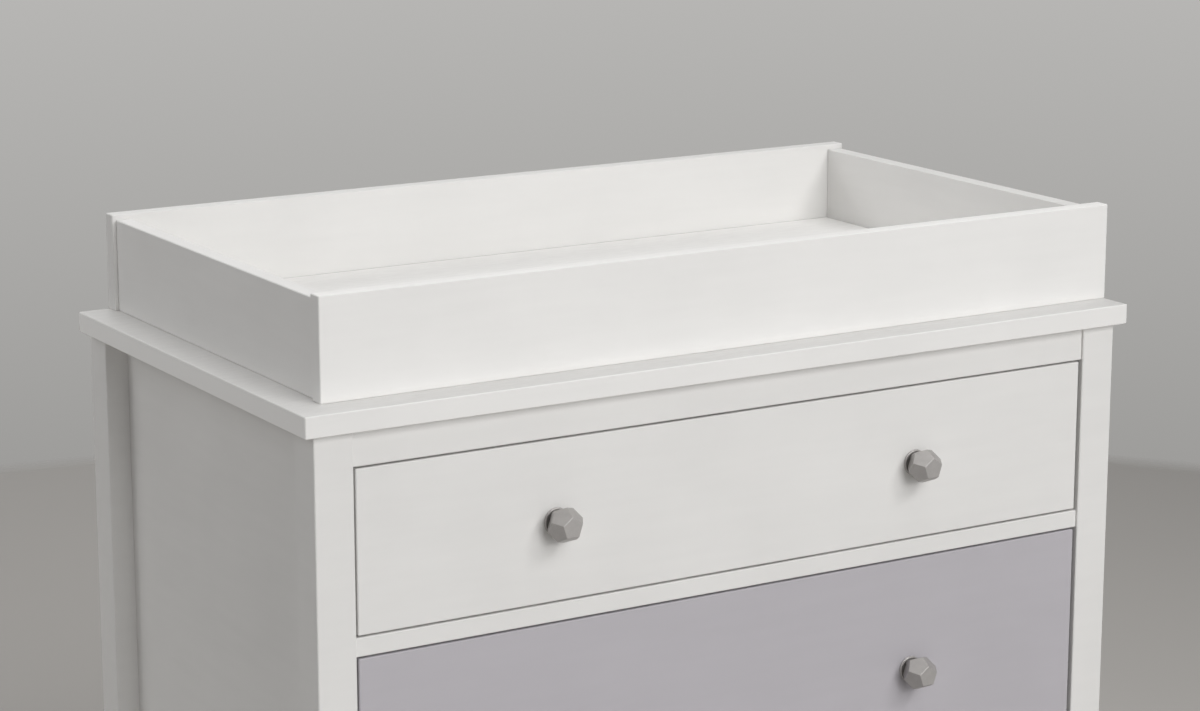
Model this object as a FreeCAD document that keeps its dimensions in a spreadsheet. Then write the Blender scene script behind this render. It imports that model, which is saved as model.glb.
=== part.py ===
"""Changing dresser: a three-drawer chest on corner posts, with a lift-off changing tray on its top.

The frame has +X to the right, -Y to the front and +Z up. The origin is on the floor, in the middle
of the width and of the whole depth, knobs included. Left-hand pieces are modelled and the right-hand
ones are their mirror images. Millimetres.
"""

import FreeCAD, Part
import math
import os
import re

import Sketcher
from FreeCAD import Placement, Rotation, Vector

DOC = FreeCAD.newDocument("changing_dresser")

# Driving dimensions. Each one can be changed by itself.
SIZES = {
    # top board
    "top_wide": 910,
    "top_deep": 508,
    "top_thick": 20,
    # carcass: corner posts, side panels and rails
    "side_over": 11,  # the top's ends stand this far past the posts
    "front_over": 7,  # its front edge stands this far before them
    "post_size": 38,
    "side_thick": 15,
    "rail_set": 2.5,  # rails and drawer fronts lie this far behind the posts' faces
    "rail_thick": 18,
    "divider_deep": 60,
    "top_rail_high": 33,
    "divider_high": 17.5,
    "bottom_rail_high": 33.5,
    "leg_clear": 105,
    "edge_break": 0.8,
    # back
    "back_thick": 3,
    "back_set": 10,  # the back panel lies this far inside the posts' back faces
    "back_rail_high": 60,
    "back_rail_thick": 15,
    "back_screw_inset": 105,
    "groove_deep": 7,
    "groove_play": 0.2,
    "panel_play": 1,
    # drawers
    "shallow_high": 151.5,
    "deep_high": 225,
    "gap_high": 2,
    "gap_side": 3,
    "front_thick": 16,
    "box_play": 13,  # between the drawer box and the carcass, for the runners
    "box_board": 12,
    "box_back_gap": 54.5,  # behind the drawer box, to the back rails
    "box_lift": 15,  # the box's lower edge lies this far above the front's
    "shallow_box_high": 105,
    "deep_box_high": 175,
    "bottom_thick": 3,
    "bottom_lift": 10,
    "bottom_groove": 5,
    # runners and rollers
    "runner_start": 2,  # behind the drawer front's back face
    "runner_screw_start": 45,  # behind the front roller's axis
    "runner_screw_end": 54,  # before the runner's back end
    "sheet_thick": 1,
    "flange_wide": 10.5,
    "roller_dia": 21,
    "roller_wide": 6.5,
    "roller_play": 0.3,
    "pin_dia": 5,
    "pin_play": 0.05,
    "pin_head_dia": 8,
    "pin_head_thick": 1.2,
    "pin_inset": 13,
    "wrap_gap": 0.2,  # between the members' lowest flanges
    "track_gap": 1.6,  # under the upper flange, above the roller's top and the drawer's flange
    # knobs
    "knob_flats": 28,  # between two opposite facets of the head
    "knob_neck_long": 0.8,
    "knob_neck_dia": 11,
    "rosette_dia": 25.5,
    "rosette_thick": 2,
    "rosette_round": 1,
    # screws: heads on plain shanks
    "screw_dia": 3.5,
    "screw_head_dia": 7,
    "screw_head_thick": 1.5,
    "screw_long": 12,
    "knob_screw_dia": 4,
    "knob_screw_grip": 8,
    "knob_screw_head_dia": 8.5,
    "knob_screw_head_thick": 2.5,
    "hole_play": 0.1,  # around a screw, bolt or cam, on the radius
    # cam joints
    "cam_dia": 15,
    "cam_high": 12,
    "cam_inset": 24,
    "cam_axis": 7.5,  # the bolt's axis lies this far under the face that the cam is let into
    "cam_end": 90,  # between a post and the cams under the top
    "cam_slot_long": 9,
    "cam_slot_wide": 2,
    "cam_slot_deep": 2,
    "divider_cam_set": 20,
    "bolt_dia": 6,
    "bolt_grip": 11,
    "bolt_shank_dia": 5,
    "bolt_head_dia": 6.4,
    "bolt_head_long": 3,
    # floor glides
    "glide_dia": 24,
    "glide_high": 5,
    "glide_round": 2,
    "glide_nail_dia": 3,
    "glide_nail_long": 15,
    # changing tray
    "tray_left_gap": 32,  # from the tray's left end to the top's
    "tray_right_gap": 0,
    "tray_high": 96,
    "tray_board": 16,
    "tray_set": 35,  # the tray's front lies this far behind the top's front edge
    "tray_end_drop": 5,
    "tray_end_inset": 4,
    "tray_floor_thick": 6,
    "tray_tongue_thick": 4,  # the floor's thinner edges, in the boards' grooves
    "tray_floor_up": 14,
    "tray_groove": 6,
    # hook plates behind the tray
    "hook_wide": 36,
    "hook_up": 34,
    "hook_down": 17,
    "hook_thick": 1.5,
    "hook_play": 0.3,
    "hook_screw_up": 20,
    "hook_screw_pitch": 18,
    "hook_slot_wide": 5,
    "hook_place": 260,
    "hook_screw_dia": 4,
    "hook_screw_head_dia": 9,
    "hook_screw_head_thick": 2,
    "hook_screw_long": 16,
    # wall anchor
    "anchor_wide": 44,
    "anchor_high": 24,
    "anchor_deep": 9.5,
    "anchor_thick": 2,
    "anchor_hole_dia": 5,
    "anchor_screw_pitch": 28,
    "anchor_drop": 20,
}

# Places worked out from the sizes. A later line may use an earlier one.
PLACES = {
    "knob_out": "rosette_thick + knob_neck_long + knob_flats",
    "knob_reach": "knob_out - front_over - rail_set",
    "hook_reach": "hook_play * 2 + hook_thick + hook_screw_head_thick",
    # depths
    "front_y": "(knob_reach - top_deep - hook_reach) / 2",
    "post_y": "front_y + front_over",
    "face_y": "post_y + rail_set",
    "box_y": "face_y + front_thick",
    "back_y": "front_y + top_deep",
    "panel_back_y": "back_y - back_set",
    "panel_y": "panel_back_y - back_thick",
    "back_rail_y": "panel_y - back_rail_thick",
    "box_deep": "back_rail_y - box_y - box_back_gap",
    "runner_long": "box_deep",
    "side_y": "post_y + post_size",
    "side_back_y": "back_y - post_size",
    # widths
    "inner_x": "top_wide / 2 - side_over - post_size",
    "front_x": "inner_x - gap_side",
    "box_x": "inner_x - box_play",
    # heights
    "bottom_drawer_z": "leg_clear + bottom_rail_high + gap_high",
    "lower_divider_z": "bottom_drawer_z + deep_high + gap_high",
    "middle_drawer_z": "lower_divider_z + divider_high + gap_high",
    "upper_divider_z": "middle_drawer_z + deep_high + gap_high",
    "top_drawer_z": "upper_divider_z + divider_high + gap_high",
    "top_rail_z": "top_drawer_z + shallow_high + gap_high",
    "under_top_z": "top_rail_z + top_rail_high",
    "top_z": "under_top_z + top_thick",
    # runners, from the roller's axis
    "track_z": "roller_dia / 2 + roller_play",
    "track_top_z": "roller_dia / 2 + track_gap",
    "axis_lift": "track_z + sheet_thick + wrap_gap",
    "front_pin_y": "box_y + runner_start + pin_inset",
    "rear_pin_y": "box_y + box_deep - pin_inset",
    "bore_dia": "pin_dia + 2 * pin_play",
    # tray
    "tray_y": "front_y + tray_set",
    "tray_back_y": "back_y + hook_play",
    "tray_deep": "tray_back_y - tray_y",
    "tray_x": "tray_left_gap - top_wide / 2",
    "tray_long": "top_wide - tray_left_gap - tray_right_gap",
    "tray_middle_x": "tray_x + tray_long / 2",
    "tray_end_x": "tray_x + tray_end_inset",
    "tray_inner_deep": "tray_deep - 2 * tray_board",
    "tray_inner_long": "tray_long - 2 * (tray_end_inset + tray_board)",
}

DRAWERS = {
    "top_drawer": ("shallow_high", "shallow_box_high"),
    "middle_drawer": ("deep_high", "deep_box_high"),
    "bottom_drawer": ("deep_high", "deep_box_high"),
}

NORMALS = {
    "XY_Plane": Vector(0, 0, 1),
    "XZ_Plane": Vector(0, -1, 0),
    "YZ_Plane": Vector(1, 0, 0),
}
RIGHT, LEFT = Vector(1, 0, 0), Vector(-1, 0, 0)
BACK, FRONT = Vector(0, 1, 0), Vector(0, -1, 0)
UP, DOWN = Vector(0, 0, 1), Vector(0, 0, -1)

SCREW_SIDES, PIN_SIDES, CAM_SIDES = 6, 8, 8  # small round pieces are drawn few-sided
FACET_TILT = math.degrees(math.atan(2))  # between neighbouring facets of a twelve-sided solid

PIECES = {}  # node name: the object that is its finished shape
BORES = {}  # node name: the cutting shapes of the fasteners that enter it
OFF_CENTRE = {}  # the same, for bores that have no mirror image


# ---------------------------------------------------------------- sheets and expressions


def expr(text):
    """Put the sheet's name before each size or place that an expression names."""

    def owner(match):
        word = match.group(0)
        if word in SIZES:
            return "Dims." + word
        return "Places." + word if word in PLACES else word

    return re.sub(r"[a-z_]+", owner, str(text))


def fill_sheets():
    """Write the driving dimensions and the worked-out places, each cell with its alias."""
    dims = DOC.addObject("Spreadsheet::Sheet", "Dims")
    for row, (alias, number) in enumerate(SIZES.items(), start=1):
        dims.set(f"A{row}", alias)
        dims.set(f"B{row}", str(number))
        dims.setAlias(f"B{row}", alias)
    DOC.recompute()
    places = DOC.addObject("Spreadsheet::Sheet", "Places")
    for row, (alias, formula) in enumerate(PLACES.items(), start=1):
        places.set(f"A{row}", alias)
        places.set(f"B{row}", "=" + re.sub(r"Places\.", "", expr(formula)))
        places.setAlias(f"B{row}", alias)
    DOC.recompute()
    return dims


def value(text):
    """What an expression comes to, in millimetres."""
    return float(DIMS.evalExpression(expr(text)))


def place(obj, at):
    """Bind an object's position to three expressions."""
    for axis, text in zip("xyz", at):
        obj.setExpression(f"Placement.Base.{axis}", expr(text))


# ---------------------------------------------------------------- sketches and features


def new_body(name, at=("0", "0", "0")):
    body = DOC.addObject("PartDesign::Body", name)
    place(body, at)
    return body


def new_sketch(body, plane, offset=None):
    """A sketch on one of the body's own origin planes, or parallel to it at an offset."""
    sketch = body.newObject("Sketcher::SketchObject", body.Name + "_sketch")
    support = next(f for f in body.Origin.OriginFeatures if f.Role == plane)
    sketch.AttachmentSupport = [(support, "")]
    sketch.MapMode = "FlatFace"
    if offset is not None:
        sketch.setExpression("AttachmentOffset.Base.z", expr(offset))
    return sketch


def pin_point(sketch, geometry, point, at):
    """Hold a sketch point at two expressions, measured from the sketch's origin."""
    for kind, axis, text in (("DistanceX", -2, at[0]), ("DistanceY", -1, at[1])):
        if text == "0":
            sketch.addConstraint(Sketcher.Constraint("PointOnObject", geometry, point, axis))
            continue
        index = sketch.addConstraint(
            Sketcher.Constraint(kind, -1, 1, geometry, point, value(text))
        )
        sketch.setExpression(f"Constraints[{index}]", expr(text))


def outline(sketch, points):
    """A closed outline of straight lines through points given as pairs of expressions."""
    corners = [Vector(value(x), value(y), 0) for x, y in points]
    first, count = sketch.GeometryCount, len(points)
    for i in range(count):
        sketch.addGeometry(Part.LineSegment(corners[i], corners[(i + 1) % count]))
    for i in range(count):
        follower = first + (i + 1) % count
        sketch.addConstraint(Sketcher.Constraint("Coincident", first + i, 2, follower, 1))
    for i, at in enumerate(points):
        pin_point(sketch, first + i, 1, at)


def rectangle(sketch, low, high):
    outline(sketch, [low, (high[0], low[1]), high, (low[0], high[1])])


def circle(sketch, centre, diameter):
    centre_point = Vector(value(centre[0]), value(centre[1]), 0)
    ring = sketch.addGeometry(Part.Circle(centre_point, UP, value(diameter) / 2))
    pin_point(sketch, ring, 3, centre)
    index = sketch.addConstraint(Sketcher.Constraint("Diameter", ring, value(diameter)))
    sketch.setExpression(f"Constraints[{index}]", expr(diameter))


def pad(body, sketch, length, direction):
    """Raise the sketch's outline by a length, towards a direction along its plane's normal."""
    feature = body.newObject("PartDesign::Pad", body.Name + "_pad")
    feature.Profile = sketch
    feature.setExpression("Length", expr(length))
    normal = NORMALS[sketch.AttachmentSupport[0][0].Role]
    feature.Reversed = normal.dot(direction) < 0
    return feature


def pocket(body, sketch, length, direction):
    """Cut the sketch's outline out of the body, to a depth towards a direction."""
    feature = body.newObject("PartDesign::Pocket", body.Name + "_pocket")
    feature.Profile = sketch
    feature.setExpression("Length", expr(length))
    normal = NORMALS[sketch.AttachmentSupport[0][0].Role]
    feature.Reversed = normal.dot(direction) > 0
    return feature


def revolve(body, sketch, axis):
    """Turn the sketch's outline once round one of the body's own axes."""
    feature = body.newObject("PartDesign::Revolution", body.Name + "_revolution")
    feature.Profile = sketch
    line = next(f for f in body.Origin.OriginFeatures if f.Role == axis)
    feature.ReferenceAxis = (line, [""])
    feature.Angle = 360
    return feature


def break_edges(body, feature):
    """Break all the edges of a board, as its foil or edge band does."""
    chamfer = body.newObject("PartDesign::Chamfer", body.Name + "_chamfer")
    chamfer.Base = (feature, [""])
    chamfer.UseAllEdges = True
    chamfer.setExpression("Size", expr("edge_break"))


def board(name, plane, low, high, thick, direction, at, broken=False):
    """A flat board: a rectangle on a plane, thickened towards a direction."""
    body = new_body(name, at)
    sketch = new_sketch(body, plane)
    rectangle(sketch, low, high)
    feature = pad(body, sketch, thick, direction)
    if broken:
        break_edges(body, feature)
    return body


def slot(body, plane, low, high, depth, direction):
    """A rectangular pocket from one of the body's origin planes."""
    sketch = new_sketch(body, plane)
    rectangle(sketch, low, high)
    pocket(body, sketch, depth, direction)


def bore(body, plane, centres, diameter, depth, direction):
    """Round holes of one diameter from one of the body's origin planes."""
    sketch = new_sketch(body, plane)
    for centre in centres:
        circle(sketch, centre, diameter)
    pocket(body, sketch, depth, direction)


def turned(body, points, plane="XY_Plane", axis="X_Axis"):
    """Turn an outline round one of the body's axes."""
    sketch = new_sketch(body, plane)
    outline(sketch, points)
    return revolve(body, sketch, axis)


def prism(name, start, end, diameter, sides, along=RIGHT):
    """A few-sided bar from start to end along an axis, its corners on a circle."""
    bar = DOC.addObject("Part::Prism", name)
    bar.Polygon = sides
    bar.setExpression("Circumradius", expr(f"({diameter}) / 2"))
    bar.setExpression("Height", expr(f"({end}) - ({start})"))
    bar.Placement = Placement(Vector(), Rotation(UP, along))
    place(bar, [start if number else "0" for number in along])
    return bar


def stack(name, steps, sides=SCREW_SIDES):
    """A stepped bar along X: steps are (start, end, diameter) of prisms that meet."""
    bars = [prism(f"{name}_step_{i}", *step, sides) for i, step in enumerate(steps)]
    return fuse(name, bars) if len(bars) > 1 else group(name, bars)


# ---------------------------------------------------------------- copies, mirrors, groups


def copy_of(master, name, at, along=RIGHT, face=UP):
    """A linked copy, with the master's +X turned to along and its +Z to face."""
    link = DOC.addObject("App::Link", name)
    link.LinkedObject = master
    link.Placement = Placement(Vector(), Rotation(along, Vector(), face, "XZY"))
    place(link, at)
    return link


def mirrored(name, source):
    """The mirror image of a left-hand piece in the middle plane."""
    mirror = DOC.addObject("Part::Mirroring", name)
    mirror.Source = source
    mirror.Normal = RIGHT
    mirror.Base = Vector()
    return mirror


def group(name, members):
    compound = DOC.addObject("Part::Compound", name)
    compound.Links = members
    return compound


def fuse(name, members):
    whole = DOC.addObject("Part::MultiFuse", name)
    whole.Shapes = members
    return whole


def cut(name, base, tool):
    result = DOC.addObject("Part::Cut", name)
    result.Base = base
    result.Tool = tool
    return result


def keep(node, obj):
    """Make an object the finished shape of a node."""
    obj.Label = node
    PIECES[node] = obj
    return obj


def drilled(node, body, both_sides=False):
    """A board with the holes of its fasteners. Holes set out on the left repeat on the right."""
    tools = [group(node + "_bores", BORES[node])]
    if both_sides:
        tools.append(mirrored(node + "_right_bores", tools[0]))
    tools += OFF_CENTRE.get(node, [])
    return keep(node, cut(node + "_drilled", body, group(node + "_all_bores", tools)))


def keep_pair(left_node, right_node, left_body):
    """A left-hand piece, drilled if fasteners enter it, and its mirror image."""
    left = drilled(left_node, left_body) if left_node in BORES else keep(left_node, left_body)
    keep(right_node, mirrored(right_node + "_mirror", left))


def keep_both_sides(node, left_pieces):
    """A node of identical pieces: those on the left, and their mirror images on the right."""
    left = group(node + "_left_group", left_pieces)
    keep(node, group(node + "_group", [left, mirrored(node + "_right_group", left)]))


# ---------------------------------------------------------------- fasteners


def make_cam():
    """A cam lock, let into a board. Its origin is where its axis meets the bolt's axis."""
    disc = prism("cam_disc", "cam_axis - cam_high", "cam_axis", "cam_dia", CAM_SIDES, UP)
    slot_cut = DOC.addObject("Part::Box", "cam_slot")
    for size, text in (("Length", "long"), ("Width", "wide"), ("Height", "deep")):
        slot_cut.setExpression(size, expr("cam_slot_" + text))
    place(slot_cut, ("-cam_slot_long / 2", "-cam_slot_wide / 2", "cam_axis - cam_slot_deep"))
    mouth = prism("cam_mouth", "-cam_dia", "0", "bolt_head_dia + 1", SCREW_SIDES)
    return cut("cam_master", disc, group("cam_cuts", [slot_cut, mouth]))


def make_bolt():
    """A cam bolt: a thread, a shank and a head. X = 0 is where the boards meet."""
    head = "cam_inset - bolt_head_long"
    return stack(
        "bolt_master",
        [
            ("-bolt_grip", "0", "bolt_dia"),
            ("0", head, "bolt_shank_dia"),
            (head, "cam_inset", "bolt_head_dia"),
        ],
    )


def make_cam_bore():
    """What a cam joint removes from the board that holds the cam."""
    disc = prism(
        "cam_bore_disc",
        "cam_axis - cam_high",
        "cam_axis + cam_high",
        "cam_dia + 2 * hole_play",
        CAM_SIDES,
        UP,
    )
    disc.setExpression("Placement.Base.x", expr("cam_inset"))
    hole = prism("cam_bore_hole", "0", "cam_inset", "bolt_head_dia + 2 * hole_play", SCREW_SIDES)
    return fuse("cam_bore_master", [disc, hole])


def make_bolt_bore():
    """What a cam joint's bolt removes from the piece that it screws into."""
    steps = [("-bolt_grip - hole_play", "0", "bolt_dia + 2 * hole_play")]
    return stack("bolt_bore_master", steps)


def make_screw(name, diameter, head_diameter, head_thick, length):
    """A screw along +X, with the underside of its head at X = 0."""
    return stack(
        name,
        [(f"-{head_thick}", "0", head_diameter), ("0", length, diameter)],
    )


def make_screw_bore(name, diameter, length):
    """The hole of a screw, a little wider and deeper than its shank."""
    return stack(name, [(f"-{length}", f"{length} + hole_play", f"{diameter} + 2 * hole_play")])


def cam_joint(name, at, along, face, board_node, mate_node):
    """Join a board's edge to its mate: the bolt runs along into the board, whose face takes the cam."""
    shift = [f"{text} + ({number:g}) * cam_inset" for text, number in zip(at, along)]
    CAMS.append(copy_of(MASTERS["cam"], name + "_cam", shift, along, face))
    BOLTS.append(copy_of(MASTERS["bolt"], name + "_bolt", at, along, face))
    cam_bore = copy_of(MASTERS["cam_bore"], name + "_cam_bore", at, along, face)
    bolt_bore = copy_of(MASTERS["bolt_bore"], name + "_bolt_bore", at, along, face)
    BORES.setdefault(board_node, []).append(cam_bore)
    BORES.setdefault(mate_node, []).append(bolt_bore)


def screw_holes(name, piece, places, along):
    """A sheet-metal piece with screw holes at places, each square to an axis."""
    holes = [
        copy_of(MASTERS["screw_bore"], f"{name}_hole_{number}", at, along)
        for number, at in enumerate(places)
    ]
    return cut(name, piece, group(name + "_holes", holes))


def screw_into(name, master, at, along, nodes, bores=BORES):
    """A screw and its hole in each of the nodes that it enters."""
    for node in nodes:
        hole = copy_of(MASTERS[master + "_bore"], f"{name}_in_{node}", at, along)
        bores.setdefault(node, []).append(hole)
    return copy_of(MASTERS[master], name, at, along)


# ---------------------------------------------------------------- carcass


def make_posts():
    """Four square posts. The back ones have a groove for the back panel."""
    height = "under_top_z - glide_high"
    front = board(
        "front_post",
        "XY_Plane",
        ("-post_size", "0"),
        ("0", "post_size"),
        height,
        UP,
        ("-inner_x", "post_y", "glide_high"),
        broken=True,
    )
    back = board(
        "back_post",
        "XY_Plane",
        ("-post_size", "-post_size"),
        ("0", "0"),
        height,
        UP,
        ("-inner_x", "back_y", "glide_high"),
        broken=True,
    )
    slot(
        back,
        "YZ_Plane",
        ("-back_set - back_thick - groove_play", "leg_clear - glide_high"),
        ("-back_set + groove_play", height),
        "groove_deep",
        LEFT,
    )
    return front, back


def make_side_panel():
    """A side panel between two posts, flush with their inner faces and up to the top's underside."""
    return board(
        "side_panel",
        "YZ_Plane",
        ("0", "0"),
        ("side_back_y - side_y", "under_top_z - leg_clear"),
        "side_thick",
        LEFT,
        ("-inner_x", "side_y", "leg_clear"),
    )


def make_rail(name, z, high, deep):
    """A rail between the front posts, a little behind their faces."""
    return board(
        name,
        "XZ_Plane",
        ("0", "0"),
        ("2 * inner_x", high),
        deep,
        BACK,
        ("-inner_x", "face_y", z),
        broken=True,
    )


def make_back_rail(name, z):
    return board(
        name,
        "XZ_Plane",
        ("0", "0"),
        ("2 * inner_x", "back_rail_high"),
        "back_rail_thick",
        BACK,
        ("-inner_x", "back_rail_y", z),
    )


def make_carcass():
    """The top, posts, side panels, rails and back, each drilled for the fasteners set out before."""
    top = board(
        "top_board",
        "XY_Plane",
        ("-top_wide / 2", "0"),
        ("top_wide / 2", "top_deep"),
        "top_thick",
        UP,
        ("0", "front_y", "under_top_z"),
        broken=True,
    )
    drilled("top_panel", top, both_sides=True)
    front_post, back_post = make_posts()
    keep_pair("front_left_post", "front_right_post", front_post)
    keep_pair("back_left_post", "back_right_post", back_post)
    keep_pair("left_side_panel", "right_side_panel", make_side_panel())
    rails = {
        "top_rail": ("top_rail_z", "top_rail_high", "rail_thick"),
        "upper_divider_rail": ("upper_divider_z", "divider_high", "divider_deep"),
        "lower_divider_rail": ("lower_divider_z", "divider_high", "divider_deep"),
        "bottom_rail": ("leg_clear", "bottom_rail_high", "rail_thick"),
    }
    for node, (z, high, deep) in rails.items():
        drilled(node, make_rail(node + "_board", z, high, deep), both_sides=True)
    for node, z in BACK_RAILS.items():
        drilled(node, make_back_rail(node + "_board", z), both_sides=True)
    back = board(
        "back_board",
        "XZ_Plane",
        ("-inner_x - groove_deep + panel_play", "panel_play"),
        ("inner_x + groove_deep - panel_play", "under_top_z - leg_clear - panel_play"),
        "back_thick",
        BACK,
        ("0", "panel_y", "leg_clear"),
    )
    drilled("back_panel", back, both_sides=True)


def join_carcass():
    """Set out the left half of the cam joints. The side panels are glued between their posts."""
    panel_x = "-inner_x - cam_axis"
    for end, y in (("front", "side_y + cam_end"), ("back", "side_back_y - cam_end")):
        at = (panel_x, y, "under_top_z")
        cam_joint(f"top_{end}", at, DOWN, RIGHT, "left_side_panel", "top_panel")
    rail_y = "face_y + rail_thick - cam_axis"
    for node, z in (
        ("top_rail", "top_rail_z + top_rail_high / 2"),
        ("bottom_rail", "leg_clear + bottom_rail_high / 2"),
    ):
        cam_joint(node, ("-inner_x", rail_y, z), RIGHT, BACK, node, "front_left_post")
    for node, z in (
        ("upper_divider_rail", "upper_divider_z"),
        ("lower_divider_rail", "lower_divider_z"),
    ):
        at = ("-inner_x", "face_y + divider_cam_set", f"{z} + cam_axis")
        cam_joint(node, at, RIGHT, DOWN, node, "front_left_post")
    for node, z in BACK_RAILS.items():
        at = ("-inner_x", "back_rail_y + cam_axis", f"{z} + back_rail_high / 2")
        cam_joint(node, at, RIGHT, FRONT, node, "back_left_post")
    keep_both_sides("cam_locks", CAMS)
    keep_both_sides("cam_bolts", BOLTS)


def make_back_screws():
    """Screws that hold the back panel to its rails, and the wall anchor over it."""
    screws = []
    for node, z in BACK_RAILS.items():
        at = ("-inner_x + back_screw_inset", "panel_back_y", f"{z} + back_rail_high / 2")
        screws.append(screw_into(f"{node}_screw", "screw", at, FRONT, (node, "back_panel")))
    at = (
        "-anchor_screw_pitch / 2",
        "panel_back_y + anchor_thick",
        "under_top_z - anchor_drop - anchor_high / 2",
    )
    nodes = ("back_top_rail", "back_panel")
    screws.append(screw_into("anchor_screw", "screw", at, FRONT, nodes))
    keep_both_sides("back_panel_screws", screws)


def make_anchor():
    """An angle bracket on the back, with a hole for an anti-tip tie in its upper leg."""
    body = new_body(
        "anchor_angle", ("0", "panel_back_y", "under_top_z - anchor_drop - anchor_high")
    )
    side = new_sketch(body, "YZ_Plane", "-anchor_wide / 2")
    outline(
        side,
        [
            ("0", "0"),
            ("anchor_thick", "0"),
            ("anchor_thick", "anchor_high - anchor_thick"),
            ("anchor_deep", "anchor_high - anchor_thick"),
            ("anchor_deep", "anchor_high"),
            ("0", "anchor_high"),
        ],
    )
    pad(body, side, "anchor_wide", RIGHT)
    tie_hole = [("0", "(anchor_deep + anchor_thick) / 2")]
    bore(body, "XY_Plane", tie_hole, "anchor_hole_dia", "anchor_high", UP)
    height = "under_top_z - anchor_drop - anchor_high / 2"
    places = [(f"{sign}anchor_screw_pitch / 2", "panel_back_y", height) for sign in ("-", "")]
    keep("wall_anchor_bracket", screw_holes("anchor_drilled", body, places, FRONT))


def make_glides():
    """Nail-on glides under the posts."""
    foot = new_body("glide_foot")
    turned(
        foot,
        [
            ("0", "0"),
            ("glide_dia / 2 - glide_round", "0"),
            ("glide_dia / 2", "glide_round"),
            ("glide_dia / 2", "glide_high"),
            ("0", "glide_high"),
        ],
        "XZ_Plane",
        "Z_Axis",
    )
    top = "glide_high + glide_nail_long"
    nail = prism("glide_nail", "glide_high / 2", top, "glide_nail_dia", SCREW_SIDES, UP)
    body = fuse("glide_master", [foot, nail])
    x = "-inner_x - post_size / 2"
    ends = {"front": "post_y + post_size / 2", "back": "back_y - post_size / 2"}
    glides = [copy_of(body, f"{end}_glide", (x, y, "0")) for end, y in ends.items()]
    keep_both_sides("floor_glides", glides)
    for end, y in ends.items():
        hole = copy_of(MASTERS["nail_bore"], f"{end}_glide_bore", (x, y, "glide_high"), UP, LEFT)
        BORES.setdefault(f"{end}_left_post", []).append(hole)


# ---------------------------------------------------------------- runners and rollers


def make_cabinet_runner():
    """The left cabinet member: a channel on its side, with the front roller's pin.

    Its origin is on the roller's axis, at the carcass's inner face.
    """
    body = new_body("cabinet_runner_master")
    section = new_sketch(body, "XZ_Plane", "pin_inset")
    outline(
        section,
        [
            ("0", "-track_z - sheet_thick"),
            ("flange_wide", "-track_z - sheet_thick"),
            ("flange_wide", "-track_z"),
            ("sheet_thick", "-track_z"),
            ("sheet_thick", "track_top_z"),
            ("flange_wide", "track_top_z"),
            ("flange_wide", "track_top_z + sheet_thick"),
            ("0", "track_top_z + sheet_thick"),
        ],
    )
    pad(body, section, "runner_long", BACK)
    head = "sheet_thick + 3 * roller_play + roller_wide"
    pin = stack(
        "cabinet_pin",
        [
            ("sheet_thick / 2", head, "pin_dia"),
            (head, f"{head} + pin_head_thick", "pin_head_dia"),
        ],
        PIN_SIDES,
    )
    places = [("0", y, "0") for y in RUNNER_SCREWS]
    member = screw_holes("cabinet_member", body, places, LEFT)
    return fuse("cabinet_runner", [member, pin])


def make_drawer_runner():
    """The left drawer member: it wraps the box's lower edge, and its flange runs on the front roller.

    Its origin is on the rear roller's axis, at the outer face of the drawer's side.
    """
    body = new_body("drawer_runner_master")
    section = new_sketch(body, "XZ_Plane", "rear_pin_y - box_y - hole_play")
    outline(
        section,
        [
            ("box_board", "-axis_lift - sheet_thick"),
            ("box_board", "-axis_lift"),
            ("0", "-axis_lift"),
            ("0", "track_z + sheet_thick"),
            ("-flange_wide", "track_z + sheet_thick"),
            ("-flange_wide", "track_z"),
            ("-sheet_thick", "track_z"),
            ("-sheet_thick", "-axis_lift - sheet_thick"),
        ],
    )
    pad(body, section, "box_deep - 2 * hole_play", BACK)
    head = "-sheet_thick - 3 * roller_play - roller_wide"
    pin = stack(
        "drawer_pin",
        [
            (f"{head} - pin_head_thick", head, "pin_head_dia"),
            (head, "-sheet_thick / 2", "pin_dia"),
        ],
        PIN_SIDES,
    )
    return fuse("drawer_runner", [body, pin])


def make_roller():
    """A nylon roller along X, centred on its axis. Its bore's flats clear the pin all round."""
    wheel = DOC.addObject("Part::Cylinder", "roller_wheel")
    wheel.setExpression("Radius", expr("roller_dia / 2"))
    wheel.setExpression("Height", expr("roller_wide"))
    wheel.Placement = Placement(Vector(), Rotation(UP, RIGHT))
    place(wheel, ("-roller_wide / 2", "0", "0"))
    across = f"bore_dia / cos({180 / PIN_SIDES:g})"
    hole = prism("roller_bore", "-roller_wide", "roller_wide", across, PIN_SIDES)
    return cut("roller_master", wheel, hole)


def make_runners():
    """Each drawer's runners: cabinet members, drawer members and a pair of rollers on each."""
    cabinet_master = make_cabinet_runner()
    drawer_master = make_drawer_runner()
    roller_master = make_roller()
    members, screws = [], []
    front_roller_x = "-inner_x + sheet_thick + 1.5 * roller_play + roller_wide / 2"
    rear_roller_x = "-box_x - sheet_thick - 1.5 * roller_play - roller_wide / 2"
    for drawer in DRAWERS:
        axis_z = f"{drawer}_z + box_lift + axis_lift"
        at = ("-inner_x", "front_pin_y", axis_z)
        members.append(copy_of(cabinet_master, drawer + "_cabinet_member", at))
        for number, y in enumerate(RUNNER_SCREWS):
            at = ("-inner_x + sheet_thick", f"front_pin_y + {y}", axis_z)
            name = f"{drawer}_runner_screw_{number}"
            screws.append(screw_into(name, "screw", at, LEFT, ("left_side_panel",)))
        pairs = {
            f"{drawer}_runners": (drawer_master, ("-box_x", "rear_pin_y", axis_z)),
            f"{drawer}_front_rollers": (roller_master, (front_roller_x, "front_pin_y", axis_z)),
            f"{drawer}_rear_rollers": (roller_master, (rear_roller_x, "rear_pin_y", axis_z)),
        }
        for node, (master, place_at) in pairs.items():
            keep_both_sides(node, [copy_of(master, node + "_left", place_at)])
    keep_both_sides("cabinet_runners", members)
    keep_both_sides("runner_screws", screws)


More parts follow.
